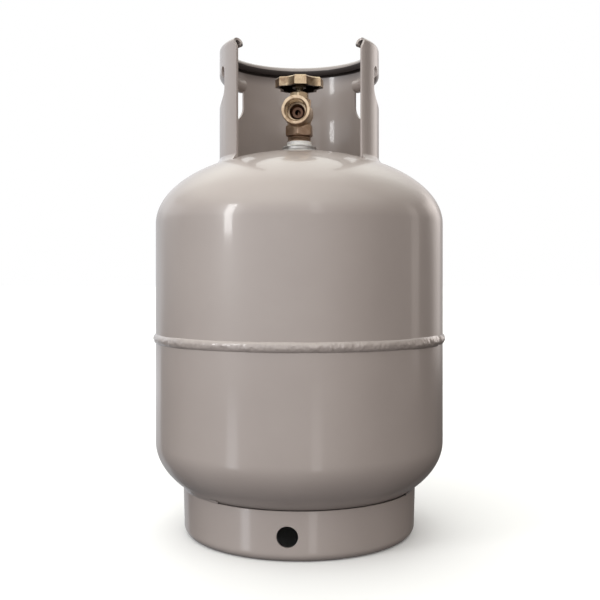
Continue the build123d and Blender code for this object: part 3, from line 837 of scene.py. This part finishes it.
def thread_tape():
    """Tape wraps bunched on the taper thread, uneven at the edges."""
    base_r = high("thread_tape", 0)
    top = high("thread_tape", 2)
    z0 = BOSS_TOP + 0.1 * MM
    points, faces = [], []
    steps, rows = 160, 20
    for k in range(steps):
        a = 2 * pi * k / steps
        for i in range(rows + 1):
            t = i / rows
            z = z0 + (top - z0) * t
            r = base_r - 0.25 * MM - 0.45 * MM * t ** 2
            r += 0.12 * MM * sin(2 * pi * (t * 4.2 + a / (2 * pi)))
            r += 0.14 * MM * noise.noise(Vector((cos(a) * 3, sin(a) * 3, t * 6)))
            if i == rows:
                r -= 0.3 * MM
            points.append(spot(a, min(r, base_r - SKIN), z))
        points.append(spot(a, base_r - 2.0 * MM, top - 0.2 * MM))
        points.append(spot(a, base_r - 2.4 * MM, z0))
    n = rows + 3
    for k in range(steps):
        p, q = k * n, ((k + 1) % steps) * n
        for i in range(n):
            j = (i + 1) % n
            faces.append((p + i, q + i, q + j, p + j))
    piece("tape_wraps", points, faces, TAPE, "cylinder", ["thread_tape"], sharp=60)


def outlet_thread():
    """Left-hand thread ridge inside the outlet."""
    middle, axis = OUTLET, OUTLET_WAY
    bore = OUTLET_MOUNT["dims"]["r_mm"] * MM
    length = OUTLET_MOUNT["dims"]["length_mm"] * MM
    up = Vector((0, 0, 1))
    side = axis.cross(up).normalized()
    pitch = POL_PITCH
    per_turn, fade_steps = 56, 18
    turns = (length - 1.2 * MM) / pitch - 0.9
    steps = int(turns * per_turn)
    points, faces = [], []
    start = middle - axis * (length / 2 - 0.9 * MM)
    for k in range(steps + 1):
        t = k / per_turn
        a = -2 * pi * t
        fade = min(1.0, k / fade_steps, (steps - k) / fade_steps)
        crest = bore - (0.1 + 0.75 * fade) * MM
        ways = ((bore + SKIN, -0.82), (crest, -0.16), (crest, 0.16), (bore + SKIN, 0.82))
        for r, w in ways:
            along = start + axis * (pitch * t + w * MM)
            points.append(along + (side * cos(a) + up * sin(a)) * r)
    for k in range(steps):
        p, q = k * 4, (k + 1) * 4
        for i in range(4):
            j = (i + 1) % 4
            faces.append((p + i, q + i, q + j, p + j))
    faces.append((3, 2, 1, 0))
    faces.append(tuple(steps * 4 + i for i in range(4)))
    piece("outlet_thread", points, faces, TURNED_BRASS, "cylinder", sharp=25)


def dress(node, material):
    """Give a CAD node its material."""
    ob = frame["nodes"][node]
    ob.data.materials.clear()
    ob.data.materials.append(material)
    for poly in ob.data.polygons:
        poly.material_index = 0
        poly.use_smooth = True


def valve():
    """Everything in the valve, and its boss, shows its own CAD shape."""
    for material, nodes in (
        (ZINC, ("valve_boss",)),
        (FORGED_BRASS, ("valve_body",)),
        (TURNED_BRASS, ("bonnet", "upper_stem", "lower_spindle", "relief_poppet", "relief_plug")),
        (CAST_BRASS, ("handwheel",)),
        (COPPER, ("bonnet_gasket",)),
        (NYLON, ("thrust_washer", "seat_disc")),
        (RUBBER, ("stem_o_rings", "relief_seal")),
        (PLATED, ("wheel_washer", "wheel_screw")),
        (SPRING, ("relief_spring",)),
    ):
        for node in nodes:
            dress(node, material)


# ---------------------------------------------------------------- stage, light and camera

def stage_material(name, color, rough):
    s = Shader(name)
    tone = s.ramp(s.noise(2.0, 2.0), (0.3, tuple(c * 0.985 for c in color)), (0.7, color))
    s.link(tone, s.surface.inputs["Base Color"])
    s.set(Roughness=rough)
    return s.material


def studio():
    """Pale floor, light from all round, and one strip lamp at the front left."""
    half = 30.0
    corners = [(-half, -half, 0), (half, -half, 0), (half, half, 0), (-half, half, 0)]
    mesh = bpy.data.meshes.new("floor")
    mesh.from_pydata(corners, [], [(0, 1, 2, 3)])
    mesh.materials.append(stage_material("floor_white", (0.90, 0.90, 0.90), 0.7))
    ground = bpy.data.objects.new("floor", mesh)
    bpy.context.collection.objects.link(ground)
    ground.visible_diffuse = False
    ground.visible_glossy = False
    ground.visible_shadow = False
    sky()

    def lamp(name, place, aim, size_x, size_y, power):
        data = bpy.data.lights.new(name, "AREA")
        data.shape = "RECTANGLE"
        data.size = size_x
        data.size_y = size_y
        data.energy = power
        ob = bpy.data.objects.new(name, data)
        ob.location = place
        ob.rotation_euler = (Vector(aim) - Vector(place)).to_track_quat("-Z", "Y").to_euler()
        bpy.context.collection.objects.link(ob)

    lamp("left_strip", (-1.42, -1.06, 0.82), (0, 0, 0.30), 0.22, 0.9, 8)


class Sky:
    """World light built from soft-edged cards, each given by its bearings."""

    def __init__(self):
        world = bpy.data.worlds.new("studio")
        bpy.context.scene.world = world
        world.use_nodes = True
        self.tree = world.node_tree
        self.link = self.tree.links.new
        self.way = self.tree.nodes.new("ShaderNodeTexCoord").outputs["Generated"]
        flat = self.vector("MULTIPLY", self.way, (1, 1, 0), "Vector")
        self.flat = self.vector("NORMALIZE", flat, None, "Vector")
        self.up = self.vector("DOT_PRODUCT", self.way, (0, 0, 1), "Value")

    def vector(self, operation, a, b, output):
        node = self.tree.nodes.new("ShaderNodeVectorMath")
        node.operation = operation
        self.link(a, node.inputs[0])
        if b is not None:
            node.inputs[1].default_value = b
        return node.outputs[output]

    def math(self, operation, a, b):
        node = self.tree.nodes.new("ShaderNodeMath")
        node.operation = operation
        for socket, value in zip(node.inputs, (a, b)):
            if hasattr(value, "is_output"):
                self.link(value, socket)
            else:
                socket.default_value = value
        return node.outputs["Value"]

    def mix(self, factor, a, b):
        node = self.tree.nodes.new("ShaderNodeMixRGB")
        self.link(factor, node.inputs["Fac"])
        for key, value in (("Color1", a), ("Color2", b)):
            if hasattr(value, "is_output"):
                self.link(value, node.inputs[key])
            else:
                node.inputs[key].default_value = (*value, 1)
        return node.outputs["Color"]

    def step(self, value, start, end, amount=1.0):
        node = self.tree.nodes.new("ShaderNodeMapRange")
        node.interpolation_type = "SMOOTHSTEP"
        node.inputs["From Min"].default_value = start
        node.inputs["From Max"].default_value = end
        node.inputs["To Max"].default_value = amount
        self.link(value, node.inputs["Value"])
        return node.outputs["Result"]

    def lobe(self, azimuth, lift, start, end, amount):
        """Round patch, given by the cosine of the angle from its middle."""
        a, e = radians(azimuth), radians(lift)
        way = (sin(a) * cos(e), -cos(a) * cos(e), sin(e))
        return self.step(self.vector("DOT_PRODUCT", self.way, way, "Value"), start, end, amount)

    def card(self, azimuth, half, soft, low, high, amount):
        """Upright patch: its middle, half its width and its soft edge in degrees, and the two
        heights on the unit sphere that it lies between."""
        fade = 0.08
        a = radians(azimuth)
        across = self.vector("DOT_PRODUCT", self.flat, (sin(a), -cos(a), 0), "Value")
        side = self.step(across, cos(radians(half + soft)), cos(radians(half)), amount)
        bottom = self.step(self.up, low - fade, low)
        top = self.step(self.up, high + fade, high)
        return self.math("MULTIPLY", side, self.math("MULTIPLY", bottom, top))


def sky():
    """Soft light from all round: brighter above, behind and from the front left.

    The second group of patches takes light away. What the camera sees of it directly is plain white.
    """
    s = Sky()
    total = 0.275
    for light in (
        s.lobe(-20, 20, 0.0, 1.0, 0.94),
        s.step(s.up, 0.40, 0.75, 0.93),
        s.card(180, 40, 12, -0.05, 0.95, 0.42),
        s.card(138, 6, 6, -0.05, 0.95, 0.45),
        s.card(180, 70, 20, 0.22, 0.95, 0.25),
        s.card(-162, 20, 6, -0.40, -0.13, 1.0),
        s.card(135, 15, 3, 0.10, 0.36, 0.50),
        s.card(-122, 12, 8, 0.10, 0.36, 0.40),
        s.card(-52, 2.0, 4, -0.33, -0.19, 5.0),
        s.card(-54, 3.0, 3, -0.36, -0.27, 4.0),
        s.card(13, 1.5, 4, -0.33, -0.19, 2.5),
        s.card(13, 2.0, 3, -0.36, -0.27, 2.8),
        s.card(13, 2.0, 4, 0.20, 0.60, 1.5),
        s.card(101, 3.0, 3, -0.06, 0.45, 1.00),
    ):
        total = s.math("ADD", total, light)
    for amount in (
        s.card(115, 7, 2, -0.7, 0.40, 0.80),
        s.card(122, 24, 8, -0.7, -0.15, 0.75),
        s.card(70, 25, 20, 0.10, 0.80, 0.25),
        s.card(112, 26, 14, 0.40, 0.88, 0.50),
        s.card(-122, 14, 8, -0.6, -0.10, 0.90),
        s.card(164, 10, 8, -0.2, 0.2, 0.30),
        s.step(s.up, 0.02, -0.25, 0.62),
        s.step(s.up, -0.40, -0.80, 0.30),
    ):
        total = s.math("MULTIPLY", total, s.math("SUBTRACT", 1.0, amount))
    warmth = s.mix(s.lobe(90, 0, -0.5, 1.0, 1.0), (0.98, 1.0, 1.04), (1.08, 0.97, 0.91))
    warmth = s.mix(s.step(s.up, 0.30, 0.70), warmth, (1.0, 1.005, 0.96))
    back = s.tree.nodes["Background"]
    eye = s.tree.nodes.new("ShaderNodeLightPath").outputs["Is Camera Ray"]
    s.link(s.mix(eye, warmth, (1, 1, 1)), back.inputs["Color"])
    lighting = s.math("MULTIPLY", total, s.math("SUBTRACT", 1.0, eye))
    s.link(s.math("ADD", lighting, eye), back.inputs["Strength"])


def camera():
    """Level camera in front of the axis, found by fitting the outline."""
    data = bpy.data.cameras.new("camera")
    data.sensor_width = 36
    data.lens = 52.04
    data.shift_x = 0.0012
    data.shift_y = -0.0343
    ob = bpy.data.objects.new("camera", data)
    ob.location = (0.0, -0.919, 0.2616)
    ob.rotation_euler = (pi / 2, 0, 0)
    bpy.context.collection.objects.link(ob)
    bpy.context.scene.camera = ob


shells()
girth_weld()
foot_ring()
foot_ring_welds()
shroud()
shroud_welds()
boss_weld()
thread_tape()
outlet_thread()
valve()
studio()
camera()

bpy.context.scene.view_settings.view_transform = "Standard"
